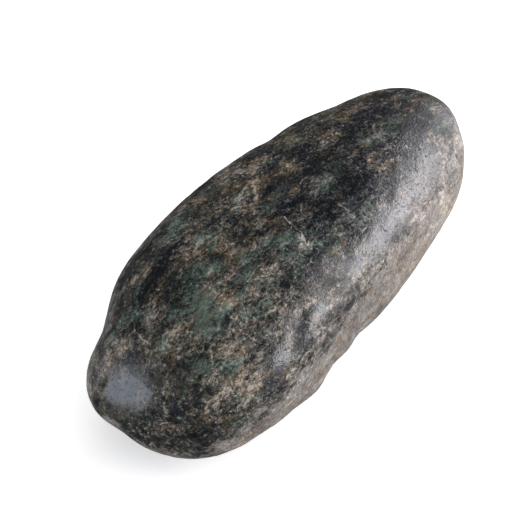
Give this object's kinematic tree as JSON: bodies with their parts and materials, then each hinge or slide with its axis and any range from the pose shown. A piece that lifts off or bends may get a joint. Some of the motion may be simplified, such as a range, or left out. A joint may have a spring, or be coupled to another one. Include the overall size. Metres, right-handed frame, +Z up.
{
  "type": "hammerstone",
  "caption": "Long oval hammerstone: a smooth dark greenstone cobble, held in one hand to strike with its broad, worn end.",
  "frame": {"origin": "middle of the stone's box in plan, on the surface that the stone lies on", "axes": "+X along the stone towards its narrow end, +Z up out of its back, -Y towards its right flank, so the broad striking end is at -X"},
  "size_m": [0.1502, 0.0624, 0.0448],
  "materials": {
    "greenstone": "dark green and brown mottled greenstone, back polished by water and handling, flanks and ends pecked and dull"
  },
  "bodies": {
    "root": {"stone": "greenstone"}
  },
  "joints": []
}
